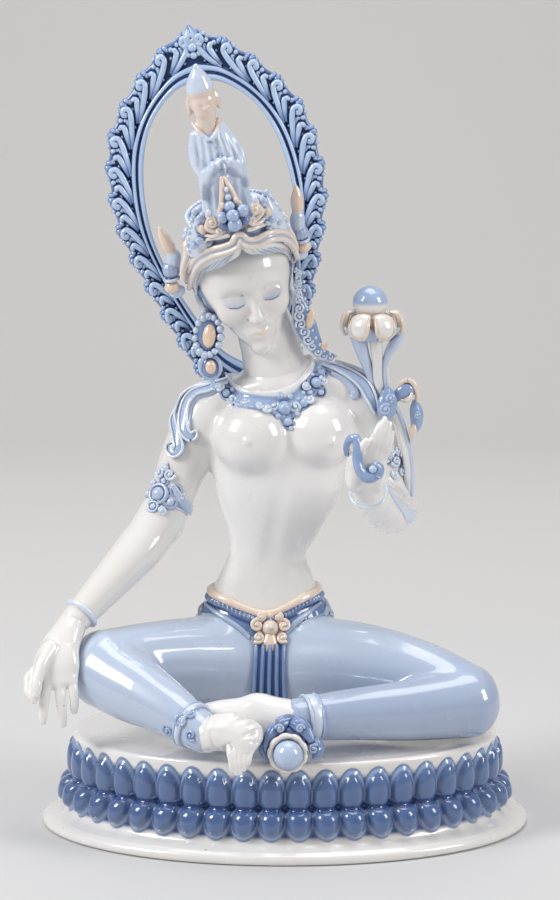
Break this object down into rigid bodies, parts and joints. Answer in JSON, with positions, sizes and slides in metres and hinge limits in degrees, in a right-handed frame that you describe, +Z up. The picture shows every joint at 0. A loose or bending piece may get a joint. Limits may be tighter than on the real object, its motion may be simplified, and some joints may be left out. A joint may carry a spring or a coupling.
{
  "type": "porcelain goddess figurine",
  "caption": "Glazed porcelain figurine of a seated goddess on an oval lotus plinth, with a leafy halo behind her head and a lotus in her raised hand, made to stand on a shelf or table.",
  "frame": {"origin": "the middle of the plinth's flat underside", "axes": "+Z up through the plinth, +X towards her left hand, -Y the way she faces, so that the plinth's long axis lies along X"},
  "size_m": [0.2512, 0.1771, 0.4005],
  "materials": {
    "white_glaze": "glossy",
    "slate_blue_glaze": "glossy",
    "peach_glaze": "glossy"
  },
  "bodies": {
    "root": {"goddess_figurine": "white_glaze"}
  },
  "joints": []
}
